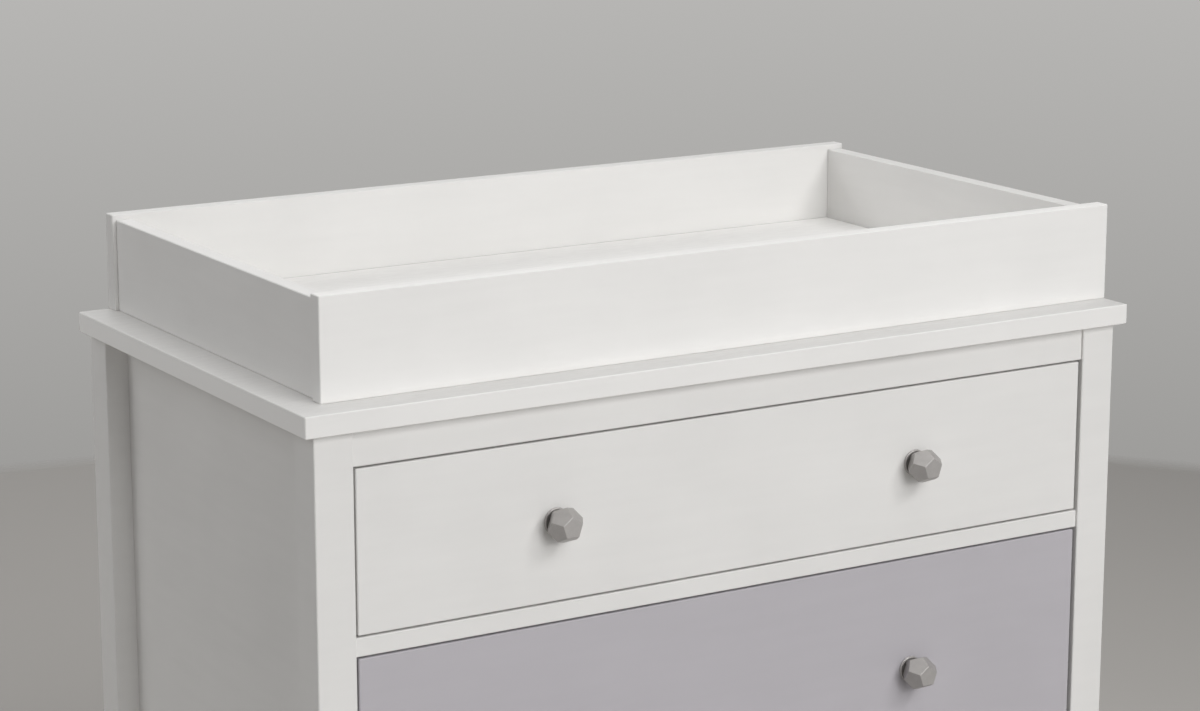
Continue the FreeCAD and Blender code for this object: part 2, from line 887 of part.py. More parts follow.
# ---------------------------------------------------------------- drawers


def make_drawer(drawer, high, box_high):
    """One drawer: an inset front, and a box with its bottom in grooves."""
    base_z = f"{drawer}_z + box_lift"
    groove_low = "bottom_lift - groove_play"
    groove_high = "bottom_lift + bottom_thick + groove_play"
    front = board(
        drawer + "_front_board",
        "XZ_Plane",
        ("-front_x", "0"),
        ("front_x", high),
        "front_thick",
        FRONT,
        ("0", "box_y", f"{drawer}_z"),
        broken=True,
    )
    groove_x = "box_x - box_board + bottom_groove + groove_play"
    slot(
        front,
        "XZ_Plane",
        (f"-({groove_x})", f"box_lift + {groove_low}"),
        (groove_x, f"box_lift + {groove_high}"),
        "bottom_groove + groove_play",
        FRONT,
    )
    at = ("-front_x / 2", "box_y", f"{drawer}_z + {high} / 2")
    screw = screw_into(drawer + "_knob_screw", "knob_screw", at, FRONT, (drawer + "_front",))
    keep_both_sides(drawer + "_knob_screws", [screw])
    drilled(drawer + "_front", front, both_sides=True)

    side = board(
        drawer + "_side",
        "YZ_Plane",
        ("0", "0"),
        ("box_deep", box_high),
        "box_board",
        LEFT,
        ("-box_x + box_board", "box_y", base_z),
    )
    slot(side, "YZ_Plane", ("0", groove_low), ("box_deep", groove_high), "bottom_groove", LEFT)
    keep_pair(drawer + "_left_side", drawer + "_right_side", side)

    inner_x = "(box_x - box_board)"
    back = board(
        drawer + "_back_board",
        "XZ_Plane",
        (f"-{inner_x}", "0"),
        (inner_x, f"{box_high} - bottom_lift - bottom_thick"),
        "box_board",
        FRONT,
        ("0", "box_y + box_deep", f"{base_z} + bottom_lift + bottom_thick"),
    )
    keep(drawer + "_back", back)
    bottom = board(
        drawer + "_bottom_board",
        "XY_Plane",
        (f"-{inner_x} - bottom_groove + groove_play", "-bottom_groove"),
        (f"{inner_x} + bottom_groove - groove_play", "box_deep"),
        "bottom_thick",
        UP,
        ("0", "box_y", f"{base_z} + bottom_lift"),
    )
    keep(drawer + "_bottom", bottom)


def make_knob():
    """A cast knob: a twelve-sided head with a flat facet in front, a neck and a round rosette.

    The head is what six slabs share, one for each pair of opposite facets. The knob's origin is
    on the drawer front's face, and it points towards -Y.
    """
    slab = new_body("knob_slab")
    sketch = new_sketch(slab, "XY_Plane")
    circle(sketch, ("0", "0"), "knob_flats * 2")
    pad(slab, sketch, "knob_flats", UP).Midplane = True
    centre = ("0", "-rosette_thick - knob_neck_long - knob_flats / 2", "0")
    slabs = [copy_of(slab, "knob_slab_front", centre, RIGHT, FRONT)]
    for number in range(5):
        turn = Rotation(FRONT, 90 + 36 + 72 * number)
        normal = turn.multVec(Rotation(UP, FACET_TILT).multVec(FRONT))
        slabs.append(copy_of(slab, f"knob_slab_{number}", centre, turn.multVec(UP), normal))
    head = DOC.addObject("Part::MultiCommon", "knob_head")
    head.Shapes = slabs
    base = new_body("knob_base")
    profile = new_sketch(base, "XY_Plane")
    rosette = "rosette_dia / 2"
    neck = "knob_neck_dia / 2"
    neck_end = "-rosette_thick - knob_neck_long"
    outline(
        profile,
        [
            ("0", "0"),
            (rosette, "0"),
            (rosette, "-rosette_thick + rosette_round"),
            (f"{rosette} - rosette_round", "-rosette_thick"),
            (neck, "-rosette_thick"),
            (neck, f"{neck_end} - rosette_round"),
            ("0", f"{neck_end} - rosette_round"),
        ],
    )
    revolve(base, profile, "Y_Axis")
    whole = fuse("knob_solid", [base, head])
    hole = copy_of(MASTERS["knob_hole"], "knob_hole", ("0", "0", "0"), FRONT)
    return cut("knob_master", whole, hole)


def make_knobs():
    master = make_knob()
    for drawer, (high, _) in DRAWERS.items():
        at = ("-front_x / 2", "face_y", f"{drawer}_z + {high} / 2")
        mirrored_at = ("front_x / 2",) + at[1:]
        pair = [copy_of(master, drawer + "_left_knob", at)]
        pair.append(copy_of(master, drawer + "_right_knob", mirrored_at))
        keep(drawer + "_knobs", group(drawer + "_knob_pair", pair))


# ---------------------------------------------------------------- changing tray


def make_tray():
    """Four boards round a thin floor. The front and back boards run over the ends of the sides."""
    floor_low = "tray_floor_up - tray_floor_thick"
    groove_low = f"{floor_low} - groove_play"
    groove_high = f"{floor_low} + tray_tongue_thick + groove_play"
    ends = ("tray_end_inset + tray_board - tray_groove", "tray_long - tray_end_inset - tray_board")
    for node, y, direction in (
        ("tray_front_board", "tray_y + tray_board", FRONT),
        ("tray_back_board", "tray_back_y - tray_board", BACK),
    ):
        body = board(
            node + "_blank",
            "XZ_Plane",
            ("0", "0"),
            ("tray_long", "tray_high"),
            "tray_board",
            direction,
            ("tray_x", y, "top_z"),
            broken=True,
        )
        low, high = (ends[0], groove_low), (f"{ends[1]} + tray_groove", groove_high)
        slot(body, "XZ_Plane", low, high, "tray_groove", direction)
        if node in OFF_CENTRE:
            body = cut(node + "_drilled", body, group(node + "_bores", OFF_CENTRE[node]))
        keep(node, body)
    for node, x, direction in (
        ("tray_left_board", "tray_end_x + tray_board", LEFT),
        ("tray_right_board", "tray_end_x + tray_board + tray_inner_long", RIGHT),
    ):
        body = board(
            node + "_blank",
            "YZ_Plane",
            ("0", "0"),
            ("tray_inner_deep", "tray_high - tray_end_drop"),
            "tray_board",
            direction,
            (x, "tray_y + tray_board", "top_z"),
            broken=True,
        )
        low, high = ("0", groove_low), ("tray_inner_deep", groove_high)
        slot(body, "YZ_Plane", low, high, "tray_groove", direction)
        keep(node, body)
    reach = "tray_groove - groove_play"
    floor = board(
        "tray_floor_board",
        "XY_Plane",
        (f"-({reach})", f"-({reach})"),
        (f"tray_inner_long + {reach}", f"tray_inner_deep + {reach}"),
        "tray_tongue_thick",
        UP,
        ("tray_end_x + tray_board", "tray_y + tray_board", f"top_z + {floor_low}"),
    )
    field = new_sketch(floor, "XY_Plane")
    high = ("tray_inner_long - groove_play", "tray_inner_deep - groove_play")
    rectangle(field, ("groove_play", "groove_play"), high)
    pad(floor, field, "tray_floor_thick", UP)
    keep("tray_floor", floor)


def make_hooks():
    """Plates on the tray's back. The slot in each drops over a screw in the top's back edge."""
    plates, plate_screws, hook_screws = [], [], []
    hook_z = "top_z - top_thick / 2"
    master = board(
        "hook_plate_master",
        "XZ_Plane",
        ("-hook_wide / 2", "-hook_down"),
        ("hook_wide / 2", "hook_up"),
        "hook_thick",
        BACK,
        ("0", "0", "0"),
    )
    low, high = ("-hook_slot_wide / 2", "-hook_down"), ("hook_slot_wide / 2", "-top_thick / 2")
    slot(master, "XZ_Plane", low, high, "hook_thick", BACK)
    bore(master, "XZ_Plane", [("0", "-top_thick / 2")], "hook_slot_wide", "hook_thick", BACK)
    steps = {"outer": "-hook_screw_pitch / 2", "inner": "hook_screw_pitch / 2"}
    places = [(step, "hook_thick", "hook_screw_up") for step in steps.values()]
    plate = screw_holes("hook_plate_drilled", master, places, FRONT)
    for side, sign in (("left", "-"), ("right", "")):
        x = f"tray_middle_x + ({sign}hook_place)"
        plates.append(copy_of(plate, f"{side}_hook_plate", (x, "tray_back_y", "top_z")))
        for end, step in steps.items():
            at = (f"{x} + ({step})", "tray_back_y + hook_thick", "top_z + hook_screw_up")
            name = f"{side}_plate_{end}_screw"
            screw = screw_into(name, "screw", at, FRONT, ("tray_back_board",), OFF_CENTRE)
            plate_screws.append(screw)
        at = (x, "back_y + 2 * hook_play + hook_thick", hook_z)
        name = f"{side}_hook_screw"
        hook_screws.append(
            screw_into(name, "hook_screw", at, FRONT, ("top_panel",), OFF_CENTRE)
        )
    keep("tray_hook_plates", group("hook_plates", plates))
    keep("tray_plate_screws", group("plate_screws", plate_screws))
    keep("tray_hook_screws", group("hook_screws", hook_screws))


# ---------------------------------------------------------------- build


def check_and_export():
    """Stop at any failed object or bad shape, then write one STEP file for each node."""
    DOC.recompute()
    for obj in DOC.Objects:
        if "Invalid" in obj.State or "Error" in obj.State:
            raise RuntimeError(f"{obj.Name} failed: {obj.State}")
    for node, obj in PIECES.items():
        if obj.Shape.isNull() or not obj.Shape.isValid():
            raise RuntimeError(f"{node} has a bad shape")
    os.makedirs("parts", exist_ok=True)
    for node, obj in PIECES.items():
        obj.Shape.exportStep(f"parts/{node}.step")
        box = obj.Shape.BoundBox
        sizes = f"{box.XLength:8.2f}{box.YLength:8.2f}{box.ZLength:8.2f}"
        print(f"{node:28}{len(obj.Shape.Solids):4d} solids{sizes}")


BACK_RAILS = {
    "back_top_rail": "under_top_z - back_rail_high",
    "back_bottom_rail": "leg_clear",
}
RUNNER_SCREWS = ("runner_screw_start", "runner_long - pin_inset - runner_screw_end")
CAMS, BOLTS = [], []

DIMS = fill_sheets()
MASTERS = {
    "cam": make_cam(),
    "bolt": make_bolt(),
    "cam_bore": make_cam_bore(),
    "bolt_bore": make_bolt_bore(),
    "nail_bore": make_screw_bore("nail_bore_master", "glide_nail_dia", "glide_nail_long"),
    "knob_hole": make_screw_bore("knob_hole_master", "knob_screw_dia", "knob_screw_grip"),
}
for kind, length in (
    ("screw", "screw_long"),
    ("knob_screw", "front_thick + knob_screw_grip"),
    ("hook_screw", "hook_screw_long"),
):
    MASTERS[kind] = make_screw(
        kind + "_master", kind + "_dia", kind + "_head_dia", kind + "_head_thick", length
    )
    MASTERS[kind + "_bore"] = make_screw_bore(kind + "_bore_master", kind + "_dia", length)

join_carcass()
make_back_screws()
make_anchor()
make_glides()
make_runners()
make_hooks()
make_carcass()
for drawer, (high, box_high) in DRAWERS.items():
    make_drawer(drawer, high, box_high)
make_knobs()
make_tray()
check_and_export()
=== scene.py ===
"""The changing dresser as it looks: lacquered boards, faceted knobs, screws, rollers and a studio.

Metres, in the frame of the construction: +X to the right, -Y to the front, +Z up, the origin on the
floor. Boards keep their construction shapes and get a finish. Small turned, cast and sheet-metal
fittings are made again with the roundings and recesses that they have close up.
"""

import math

import bmesh
import bpy
import numpy as np
from mathutils import Euler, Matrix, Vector


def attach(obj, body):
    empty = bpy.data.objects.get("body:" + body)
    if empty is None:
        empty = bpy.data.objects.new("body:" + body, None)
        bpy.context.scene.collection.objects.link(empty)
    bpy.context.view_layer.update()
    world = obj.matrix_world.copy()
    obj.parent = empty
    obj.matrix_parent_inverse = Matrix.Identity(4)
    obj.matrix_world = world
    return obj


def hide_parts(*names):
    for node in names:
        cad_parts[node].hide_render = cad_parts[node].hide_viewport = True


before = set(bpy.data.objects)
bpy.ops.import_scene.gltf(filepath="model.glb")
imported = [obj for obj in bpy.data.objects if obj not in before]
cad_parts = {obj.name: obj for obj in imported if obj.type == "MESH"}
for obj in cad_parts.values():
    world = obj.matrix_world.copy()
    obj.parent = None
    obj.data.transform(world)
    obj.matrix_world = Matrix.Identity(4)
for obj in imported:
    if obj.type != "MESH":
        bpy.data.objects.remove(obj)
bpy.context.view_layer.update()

# Paint and metal colours, as they look in plain light (red, green, blue from 0 to 255).
WHITE_PAINT = (228, 227, 225)
TRAY_PAINT = (234, 233, 231)
LAVENDER_PAINT = (184, 181, 186)
DRAWER_FOIL = (226, 224, 219)
BACK_FACE = (222, 217, 207)
KNOB_GREY = (176, 173, 171)
COATED_STEEL = (224, 224, 222)
BARE_ZINC = (188, 190, 192)
CAST_ZINC = (158, 158, 156)
NYLON = (226, 223, 212)
GLIDE_GREY = (120, 118, 115)
FLOOR_GREY = (188, 185, 181)
WALL_GREY = (184, 183, 181)
# The backdrop's painted shade at the foot of the wall.
WALL_FOOT_SHADE_GREY = (158, 157, 155)

# The inner faces of the tray's boards: left, right, front, back. Painted shade darkens the tray
# floor along them.
TRAY_WALLS = (-0.403, 0.435, -0.1944, 0.2469)


def linear(colour, share=1.0):
    """A colour from 0 to 255 as the linear light that a shader takes, times a share."""
    part = np.array(colour) / 255
    light = np.where(part > 0.04045, ((part + 0.055) / 1.055) ** 2.4, part / 12.92)
    return (*(light * share), 1.0)


# ---------------------------------------------------------------- finishes


class Field:
    """A number that a finish works out at each point of a surface."""

    def __init__(self, finish, socket):
        self.finish = finish
        self.socket = socket

    def _math(self, operation, *terms):
        return self.finish.node("ShaderNodeMath", {"operation": operation}, dict(enumerate(terms)))

    def __add__(self, other):
        return self._math("ADD", self, other)

    def __radd__(self, other):
        return self._math("ADD", other, self)

    def __sub__(self, other):
        return self._math("SUBTRACT", self, other)

    def __rsub__(self, other):
        return self._math("SUBTRACT", other, self)

    def __mul__(self, other):
        return self._math("MULTIPLY", self, other)

    def __rmul__(self, other):
        return self._math("MULTIPLY", other, self)

    def __abs__(self):
        return self._math("ABSOLUTE", self)

    def larger(self, other):
        return self._math("MAXIMUM", self, other)

    def smaller(self, other):
        return self._math("MINIMUM", self, other)

    def sine(self):
        return self._math("SINE", self)


# Numbers of the colour sockets of a Mix node, and of the sockets of a Map Range node.
MIX_SHARE, MIX_FIRST, MIX_SECOND, MIXED = 0, 6, 7, 2
RANGE_VALUE, RANGE_LOW, RANGE_HIGH, RANGE_FROM, RANGE_TO = range(5)


class Finish:
    """A material under construction, around one surface shader."""

    def __init__(self, name, owner=None, **uniform):
        self.material = owner or bpy.data.materials.new(name)
        self.material.use_nodes = True
        self.tree = self.material.node_tree
        self.tree.nodes.clear()
        self.uniform = uniform

    def node(self, kind, settings=None, sockets=None, output=0):
        """Add a node: its settings first, then its sockets' values or links. Gives one output."""
        made = self.tree.nodes.new(kind)
        for name, setting in (settings or {}).items():
            setattr(made, name, setting)
        for name, given in (sockets or {}).items():
            if isinstance(given, Field):
                self.tree.links.new(given.socket, made.inputs[name])
            else:
                made.inputs[name].default_value = given
        return Field(self, made.outputs[output]) if made.outputs else None

    def place(self, stretch=(1, 1, 1)):
        """Places on the piece in metres, times a stretch for each axis."""
        at = self.node("ShaderNodeTexCoord", output="Object")
        if stretch == (1, 1, 1):
            return at
        return self.node("ShaderNodeMapping", {}, {"Vector": at, "Scale": stretch})

    def noise(self, size, detail=2.0, stretch=(1, 1, 1), rough=0.5):
        """Soft random patches from 0 to 1, about size metres wide, or longer by 1 / stretch."""
        sockets = {"Vector": self.place(stretch), "Scale": 1 / size}
        sockets.update({"Detail": detail, "Roughness": rough})
        return self.node("ShaderNodeTexNoise", {"normalize": True}, sockets)

    def part(self, output, axis):
        """One axis of a texture coordinate."""
        vector = self.node("ShaderNodeTexCoord", output=output)
        return self.node("ShaderNodeSeparateXYZ", {}, {"Vector": vector}, axis)

    def along(self, axis):
        """How far along an axis a point of the piece lies, in metres."""
        return self.part("Object", axis)

    def facing(self, axis):
        """How far the surface faces an axis, from -1 to 1, on the piece itself."""
        return self.part("Normal", axis)

    def edges(self):
        """1 on broken edges, whose faces look along no axis, and 0 on the flats."""
        parts = [abs(self.facing(axis)) for axis in range(3)]
        return self.ramp(parts[0].larger(parts[1]).larger(parts[2]), 0.99, 0.9)

    def between(self, share, first, second):
        """A colour between two, by a share that varies."""
        sockets = {MIX_SHARE: share, MIX_FIRST: first, MIX_SECOND: second}
        return self.node("ShaderNodeMix", {"data_type": "RGBA"}, sockets, MIXED)

    def ramp(self, field, start, end):
        """0 up to start, 1 from end on, straight between them."""
        sockets = {RANGE_VALUE: field, RANGE_LOW: start, RANGE_HIGH: end}
        sockets.update({RANGE_FROM: 0.0, RANGE_TO: 1.0})
        return self.node("ShaderNodeMapRange", {"clamp": True}, sockets)

    def relief(self, height, depth):
        """The surface's own relief: height from 0 to 1, over a depth in metres."""
        sockets = {"Height": height, "Distance": depth, "Strength": 1.0}
        return self.node("ShaderNodeBump", {}, sockets)

    def surface(self, colour, roughness, normal, metal=None):
        """Close the finish: one surface shader, with its uniform numbers set on itself."""
        sockets = {"Base Color": colour, "Roughness": roughness, "Normal": normal}
        sockets.update(self.uniform)
        if metal is not None:
            sockets["Metallic"] = metal
        shader = self.node("ShaderNodeBsdfPrincipled", {}, sockets)
        self.node("ShaderNodeOutputMaterial", {}, {"Surface": shader})
        return self.material


def sprayed_lacquer(name, paint, gloss=0.55, upper_painted_light=1.0, end_painted_light=1.0, walls=None):
    """Satin lacquer sprayed on fibreboard: fine orange peel, faint clouds and a painted highlight
    on the broken edges.

    Upper faces can take their own share of the paint's brightness, painted light above 1 and
    painted shade below 1, with faint streaks along the board; the left end can take one too. Where
    walls stand on an upper face (left, right, front, back), the seam gets painted shade.
    """
    finish = Finish(name, **{"IOR": 1.42, "Coat Weight": 0.04, "Coat Roughness": 0.45})
    clouds = finish.noise(0.11, 3.0)
    streaks = finish.noise(0.012, 2.0, stretch=(0.12, 0.12, 1.0))
    tone = finish.ramp(0.65 * clouds + 0.35 * streaks, 0.3, 0.7)
    body = finish.between(tone, linear(paint, 0.972), linear(paint, 1.022))
    if upper_painted_light != 1.0:
        drawn = finish.noise(0.0045, 3.0, stretch=(0.22, 1.0, 1.0), rough=0.62)
        drawn = finish.ramp(0.75 * drawn + 0.25 * clouds, 0.32, 0.68)
        # Painted light and shade: upper faces get the paint's brightness times their own share.
        low, high = linear(paint, upper_painted_light - 0.035), linear(paint, upper_painted_light + 0.035)
        upper = finish.between(drawn, low, high)
        if walls:
            left, right, front, back = walls
            x, y = finish.along(0), finish.along(1)
            near = (x - left).smaller(right - x).smaller(y - front).smaller(back - y)
            # Painted shade: the upper face darkens to 74 percent of the paint within a few
            # millimetres of the walls.
            upper = finish.between(finish.ramp(near, 0.0005, 0.0035), linear(paint, 0.74), upper)
        looks_left = finish.ramp(finish.facing(0), -0.9, -0.95)
        looks_up = finish.ramp(finish.facing(2), 0.9, 0.95)
        # Painted light and shade on the left end, then on the upper faces, by their own shares.
        body = finish.between(looks_left, body, linear(paint, end_painted_light))
        body = finish.between(looks_up, body, upper)
    edges = finish.edges()
    painted_edge_highlight = edges * finish.ramp(finish.noise(0.02, 3.0), 0.35, 0.75)
    # Painted highlight: the broken edges are painted up to 6 percent lighter than the paint, in
    # patches.
    colour = finish.between(0.35 * painted_edge_highlight, body, linear(paint, 1.06))
    peel = finish.noise(0.0016, 1.0)
    waves = finish.noise(0.011, 1.5)
    normal = finish.relief(0.7 * peel + 0.3 * waves, 0.00005)
    return finish.surface(colour, gloss + 0.07 * clouds - 0.05 * edges, normal)


def foil_board(name, foil):
    """Particle board in a pale foil with a printed, faintly brushed grain along its length."""
    finish = Finish(name, **{"IOR": 1.45})
    grain = finish.noise(0.0014, 4.0, stretch=(1.0, 0.03, 1.0), rough=0.6)
    bands = finish.noise(0.02, 2.0, stretch=(1.0, 0.06, 1.0))
    tone = finish.ramp(0.6 * grain + 0.4 * bands, 0.3, 0.72)
    colour = finish.between(tone, linear(foil, 0.9), linear(foil, 1.02))
    normal = finish.relief(grain, 0.00004)
    return finish.surface(colour, 0.5 + 0.08 * bands, normal)


SCREEN_PITCH = 0.0018  # between the wires that the board was pressed on


def hardboard(name, face):
    """Hardboard: smooth and painted on its inner side, pressed on a screen on its outer side."""
    finish = Finish(name, **{"IOR": 1.45})
    outer = finish.ramp(finish.facing(1), 0.2, 0.6)
    rate = 2 * math.pi / SCREEN_PITCH
    wires = (finish.along(0) * rate).sine() + (finish.along(2) * rate).sine()
    screen = 0.5 + 0.25 * wires
    fibres = finish.noise(0.003, 5.0, rough=0.65)
    clouds = finish.noise(0.09, 3.0)
    tone = finish.ramp(0.3 * clouds + 0.7 * fibres, 0.3, 0.7)
    raw = finish.between(tone, linear(face, 0.91), linear(face, 0.99))
    painted = finish.between(tone, linear(WHITE_PAINT, 0.93), linear(WHITE_PAINT, 0.98))
    colour = finish.between(outer, painted, raw)
    normal = finish.relief(outer * (0.6 * screen + 0.4 * fibres), 0.00016)
    return finish.surface(colour, 0.52 + 0.25 * outer, normal)


def cast_knob_metal(name, grey):
    """Zinc casting in a matt nickel grey, tumbled: soft grain and faint clouds."""
    finish = Finish(name, **{"IOR": 1.6})
    grain = finish.noise(0.00045, 3.0, rough=0.6)
    clouds = finish.noise(0.006, 2.0)
    tone = finish.ramp(0.5 * grain + 0.5 * clouds, 0.3, 0.7)
    colour = finish.between(tone, linear(grey, 0.9), linear(grey, 1.06))
    normal = finish.relief(0.7 * grain + 0.3 * clouds, 0.00003)
    metal = 0.48 + 0.1 * clouds
    return finish.surface(colour, 0.42 + 0.12 * grain, normal, metal)


def plated_steel(name, tone_colour, roughness, metal, size):
    """Plated or coated metal: a fine crystal or spray pattern of one size."""
    finish = Finish(name, **{"IOR": 1.5})
    grain = finish.noise(size, 3.0, rough=0.6)
    clouds = finish.noise(0.03, 2.0)
    tone = finish.ramp(0.5 * grain + 0.5 * clouds, 0.3, 0.7)
    colour = finish.between(tone, linear(tone_colour, 0.88), linear(tone_colour, 1.04))
    normal = finish.relief(grain, 0.00003)
    return finish.surface(colour, roughness + 0.1 * grain, normal, metal + 0.02 * clouds)


def moulded_plastic(name, shade, roughness):
    """Moulded nylon or polythene: an even spark texture and faint flow clouds."""
    finish = Finish(name, **{"IOR": 1.53, "Subsurface Weight": 0.08})
    spark = finish.noise(0.0007, 2.0)
    clouds = finish.noise(0.012, 2.0)
    tone = finish.ramp(clouds, 0.3, 0.7)
    colour = finish.between(tone, linear(shade, 0.94), linear(shade, 1.03))
    normal = finish.relief(spark, 0.00003)
    return finish.surface(colour, roughness + 0.08 * clouds, normal)


FINISHES = {
    "white_lacquer": sprayed_lacquer("white_satin_lacquer", WHITE_PAINT),
    "lavender_grey_lacquer": sprayed_lacquer("lavender_satin_lacquer", LAVENDER_PAINT),
    "drawer_board": foil_board("drawer_box_foil", DRAWER_FOIL),
    "white_hardboard": hardboard("pressed_hardboard", BACK_FACE),
    "knob_metal": cast_knob_metal("matt_knob_casting", KNOB_GREY),
    "white_runner_steel": plated_steel("white_coated_runner", COATED_STEEL, 0.4, 0.0, 0.0006),
    "roller_nylon": moulded_plastic("roller_nylon_moulding", NYLON, 0.36),
    "zinc_steel": plated_steel("zinc_plated_steel", BARE_ZINC, 0.28, 0.95, 0.0011),
    "cam_zinc": plated_steel("die_cast_cam_zinc", CAST_ZINC, 0.42, 0.85, 0.0005),
    "glide_plastic": moulded_plastic("floor_glide_plastic", GLIDE_GREY, 0.45),
}

# Boards in the same slot as the cabinet that are a little whiter than it, with painted light and
# shade.
WHITER_BOARDS_WITH_PAINTED_LIGHT = {
    # Tray floor: painted light on its upper face, painted shade in the seams along the tray's
    # walls.
    "tray_floor": sprayed_lacquer("tray_floor_lacquer", TRAY_PAINT, 0.57, 1.05, walls=TRAY_WALLS),
    # Tray front board: painted light on its upper edge.
    "tray_front_board": sprayed_lacquer("tray_front_lacquer", TRAY_PAINT, upper_painted_light=1.1),
    "tray_left_board": sprayed_lacquer("tray_board_lacquer", TRAY_PAINT),
    # Top panel: painted shade on its upper face, painted light on its left end.
    "top_panel": sprayed_lacquer("top_panel_lacquer", TRAY_PAINT, 0.57, 0.86, end_painted_light=1.13),
}


def dress_nodes():
    """Give every construction node the finish of its material slot, or a board's own white with
    painted light.
    """
    for name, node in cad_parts.items():
        for place in node.material_slots:
            slot = place.material.name.split(".")[0]
            place.material = WHITER_BOARDS_WITH_PAINTED_LIGHT.get(name, FINISHES[slot])


# ---------------------------------------------------------------- shapes


def solids_of(node):
    """The points of each separate solid of a construction node, one array for each solid.

    Points are merged where they meet. Each point then takes the lowest number among the points of
    its triangles, again and again, until every solid has a number of its own.
    """
    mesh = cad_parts[node].data
    points = np.empty((len(mesh.vertices), 3), np.float32)
    mesh.vertices.foreach_get("co", points.ravel())
    corners = np.empty(len(mesh.loops), np.int32)
    mesh.loops.foreach_get("vertex_index", corners)
    places, same = np.unique(np.round(points, 6), axis=0, return_inverse=True)
    triangles = same.reshape(-1)[corners].reshape(-1, 3)
    label = np.arange(len(places))
    while True:
        before = label.copy()
        np.minimum.at(label, triangles.ravel(), np.repeat(label[triangles].min(axis=1), 3))
        label = label[label]
        if (label == before).all():
            break
    return [places[label == number] for number in np.unique(label)]


def rounded(corners, steps=5, closed=False):
    """A profile of (along, out, radius) corners, in millimetres, with its corners rounded.

    Each corner gives way to the curve A(1-t)^2 + 2Ct(1-t) + Bt^2, where C is the corner, and A and
    B lie a radius before and after it.
    """
    given = np.array(corners, float)
    middle, reach = given[:, :2], given[:, 2:]
    back, ahead = np.roll(middle, 1, axis=0) - middle, np.roll(middle, -1, axis=0) - middle
    if not closed:
        back[0], ahead[-1] = ahead[0], back[-1]
    back /= np.linalg.norm(back, axis=1, keepdims=True)
    ahead /= np.linalg.norm(ahead, axis=1, keepdims=True)
    t = np.linspace(0, 1, steps)[None, :, None]
    start, end = (middle + reach * back)[:, None], (middle + reach * ahead)[:, None]
    curve = start * (1 - t) ** 2 + 2 * middle[:, None] * t * (1 - t) + end * t**2
    return curve.reshape(-1, 2) / 1000


def turned(profile, spokes=48):
    """Rings around an axis: (along, r cos a, r sin a) for each profile point (along, r)."""
    turn = np.arange(spokes) * 2 * math.pi / spokes
    along, out = profile[:, 0, None], profile[:, 1, None]
    return np.stack([along + 0 * turn, out * np.cos(turn), out * np.sin(turn)], axis=-1)


def skin(rings, joined=False):
    """Quads over rows of points, closed round each row. If joined, the last row meets the first."""
    rows, columns = rings.shape[:2]
    number = np.arange(rows * columns).reshape(rows, columns)
    above = np.roll(number, -1, axis=0)
    if not joined:
        number, above = number[:-1], above[:-1]
    quads = [number, np.roll(number, -1, axis=1), np.roll(above, -1, axis=1), above]
    return rings.reshape(-1, 3), np.stack(quads, axis=-1).reshape(-1, 4).tolist()


def set_at(shell, at, along, across=None):
    """Move a shell from its own axes to a place: its X goes along, its Y across."""
    points, faces = shell
    along = np.array(along, float)
    if across is None:
        across = (0, 0, 1) if abs(along[2]) < 0.5 else (1, 0, 0)
    axes = np.array([along, across, np.cross(along, across)], float)
    return points @ axes + np.array(at), faces


def show(name, mesh, body, slot, node, sharp, round_edges, corner=30):
    """Make a mesh a piece: its finish, smooth faces, sharp and rounded edges, body and node."""
    mesh.materials.clear()
    mesh.materials.append(FINISHES[slot])
    mesh.shade_smooth()
    mesh.set_sharp_from_angle(angle=math.radians(sharp))
    piece = bpy.data.objects.new(name, mesh)
    bpy.context.scene.collection.objects.link(piece)
    if round_edges:
        bevel = piece.modifiers.new("rounded_edges", "BEVEL")
        bevel.width = round_edges
        bevel.segments = 3
        bevel.limit_method = "ANGLE"
        bevel.angle_limit = math.radians(corner)
    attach(piece, body)
    if node:
        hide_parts(node)


def fitting(name, body, slot, shells, node=None, round_edges=0.0):
    """One piece from shells: merged, with faces outwards, on a body and in place of a node."""
    start = np.cumsum([0] + [len(points) for points, _ in shells])
    faces = [
        tuple(int(first + corner) for corner in face)
        for first, (_, given) in zip(start, shells)
        for face in given
    ]
    mesh = bpy.data.meshes.new(name)
    mesh.from_pydata(np.concatenate([points for points, _ in shells]).tolist(), [], faces)
    work = bmesh.new()
    work.from_mesh(mesh)
    bmesh.ops.remove_doubles(work, verts=work.verts[:], dist=2e-7)
    bmesh.ops.recalc_face_normals(work, faces=work.faces[:])
    work.to_mesh(mesh)
    work.free()
    show(name, mesh, body, slot, node, 40, round_edges)


def rounded_copy(node, body, slot, round_edges):
    """A construction piece of sheet metal again, with its flat faces whole and edges rounded."""
    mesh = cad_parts[node].data.copy()
    mesh.name = node + "_rounded"
    work = bmesh.new()
    work.from_mesh(mesh)
    bmesh.ops.remove_doubles(work, verts=work.verts[:], dist=1e-6)
    flat = math.radians(0.5)
    bmesh.ops.dissolve_limit(work, angle_limit=flat, verts=work.verts[:], edges=work.edges[:])
    work.to_mesh(mesh)
    work.free()
    show(mesh.name, mesh, body, slot, node, 25, round_edges, 40)


# ---------------------------------------------------------------- fittings

DRAWERS = ("top_drawer", "middle_drawer", "bottom_drawer")


